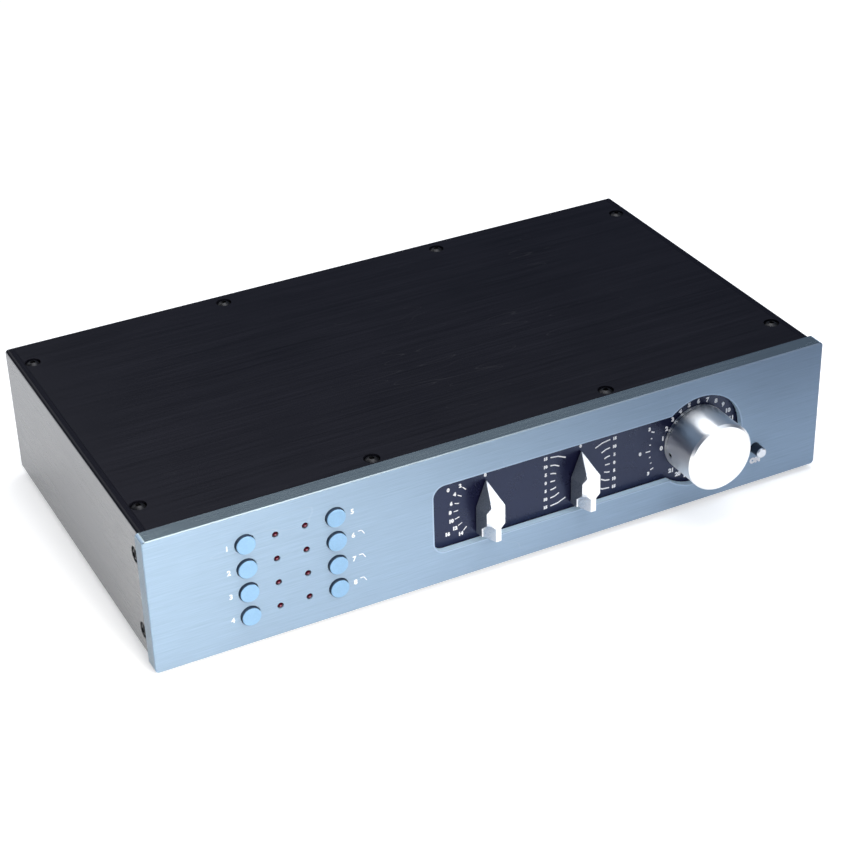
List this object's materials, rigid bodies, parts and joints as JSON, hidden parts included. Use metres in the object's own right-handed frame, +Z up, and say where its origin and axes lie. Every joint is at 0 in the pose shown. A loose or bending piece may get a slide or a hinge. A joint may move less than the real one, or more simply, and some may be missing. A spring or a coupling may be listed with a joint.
{
  "type": "stereo preamplifier",
  "caption": "Flat stereo preamplifier with a thick front panel, lamp-marked push buttons, pointer knobs in a recessed scale window and a large volume knob.",
  "frame": {"origin": "middle of the bounding box at the undersides of the feet", "axes": "+X to the right seen from the front, +Y from the front panel to the rear, +Z up"},
  "size_m": [0.36, 0.2284, 0.0738],
  "materials": {
    "panel": "brushed, anodised",
    "scale": "satin, printed scales",
    "case": "brushed, black anodised",
    "knob": "turned, satin",
    "button": "satin",
    "power": "polished",
    "ring": "turned, satin",
    "lamp": "clear red, dark when off",
    "screw": "black oxide",
    "alloy": "milled",
    "steel": "plated",
    "nut": "plated",
    "switch": "moulded",
    "moulding": "moulded",
    "board": "lacquered",
    "can": "sleeved",
    "film": "moulded",
    "winding": "taped",
    "rubber": "matt",
    "plated": "gold plated"
  },
  "bodies": {
    "case": {"front_panel": "panel", "scale_plate": "scale", "left_side_panel": "case", "right_side_panel": "case", "top_plate": "case", "bottom_plate": "case", "rear_panel": "case", "lamps": "lamp", "top_screws": "screw", "bottom_screws": "screw", "side_screws": "screw", "rear_screws": "screw", "inlet_screws": "screw", "corner_blocks": "alloy", "plate_blocks": "alloy", "inner_panel": "steel", "transformer_clamp": "steel", "inlet_pins": "steel", "volume_control": "steel", "volume_control_nut": "nut", "rotary_switch_nuts": "nut", "board_spacers": "nut", "board_pillars": "nut", "left_rotary_switch": "switch", "right_rotary_switch": "switch", "power_switch": "moulding", "push_switches": "moulding", "mains_inlet": "moulding", "fuse_holder": "moulding", "amplifier_chips": "moulding", "control_board": "board", "main_board": "board", "smoothing_capacitors": "can", "film_capacitors": "film", "transformer": "winding", "transformer_pad": "rubber", "foot_front_left": "rubber", "foot_front_right": "rubber", "foot_rear_left": "rubber", "foot_rear_right": "rubber", "line_sockets": "plated", "earth_terminal": "plated"},
    "volume": {"volume_knob": "knob", "volume_set_screw": "screw", "volume_shaft": "steel"},
    "balance": {"balance_ring": "ring", "balance_tube": "steel"},
    "left_pointer": {"left_pointer_knob": "knob", "left_switch_shaft": "steel"},
    "right_pointer": {"right_pointer_knob": "knob", "right_switch_shaft": "steel"},
    "power_push": {"power_button": "power"},
    "push_1": {"button_1": "button"},
    "push_2": {"button_2": "button"},
    "push_3": {"button_3": "button"},
    "push_4": {"button_4": "button"},
    "push_5": {"button_5": "button"},
    "push_6": {"button_6": "button"},
    "push_7": {"button_7": "button"},
    "push_8": {"button_8": "button"}
  },
  "joints": [
    {"name": "volume_turn", "type": "hinge", "parent": "case", "child": "volume", "pos_m": [0.1085, -0.09525, 0.0384], "axis": [0, 1, 0], "range_deg": [0, 315]},
    {"name": "balance_turn", "type": "hinge", "parent": "case", "child": "balance", "pos_m": [0.1085, -0.09525, 0.0384], "axis": [0, 1, 0], "range_deg": [-22, 22]},
    {"name": "left_pointer_turn", "type": "hinge", "parent": "case", "child": "left_pointer", "pos_m": [-0.0091, -0.09525, 0.0384], "axis": [0, 1, 0], "range_deg": [-135, 0]},
    {"name": "right_pointer_turn", "type": "hinge", "parent": "case", "child": "right_pointer", "pos_m": [0.0428, -0.09525, 0.0384], "axis": [0, 1, 0], "range_deg": [-157.5, 157.5]},
    {"name": "power_press", "type": "slide", "parent": "case", "child": "power_push", "axis": [0, 1, 0], "range_m": [0, 0.003], "stiffness_N_per_m": 300},
    {"name": "button_1_press", "type": "slide", "parent": "case", "child": "push_1", "axis": [0, 1, 0], "range_m": [0, 0.0012], "stiffness_N_per_m": 400},
    {"name": "button_2_press", "type": "slide", "parent": "case", "child": "push_2", "axis": [0, 1, 0], "range_m": [0, 0.0012], "stiffness_N_per_m": 400},
    {"name": "button_3_press", "type": "slide", "parent": "case", "child": "push_3", "axis": [0, 1, 0], "range_m": [0, 0.0012], "stiffness_N_per_m": 400},
    {"name": "button_4_press", "type": "slide", "parent": "case", "child": "push_4", "axis": [0, 1, 0], "range_m": [0, 0.0012], "stiffness_N_per_m": 400},
    {"name": "button_5_press", "type": "slide", "parent": "case", "child": "push_5", "axis": [0, 1, 0], "range_m": [0, 0.0012], "stiffness_N_per_m": 400},
    {"name": "button_6_press", "type": "slide", "parent": "case", "child": "push_6", "axis": [0, 1, 0], "range_m": [0, 0.0012], "stiffness_N_per_m": 400},
    {"name": "button_7_press", "type": "slide", "parent": "case", "child": "push_7", "axis": [0, 1, 0], "range_m": [0, 0.0012], "stiffness_N_per_m": 400},
    {"name": "button_8_press", "type": "slide", "parent": "case", "child": "push_8", "axis": [0, 1, 0], "range_m": [0, 0.0012], "stiffness_N_per_m": 400}
  ]
}
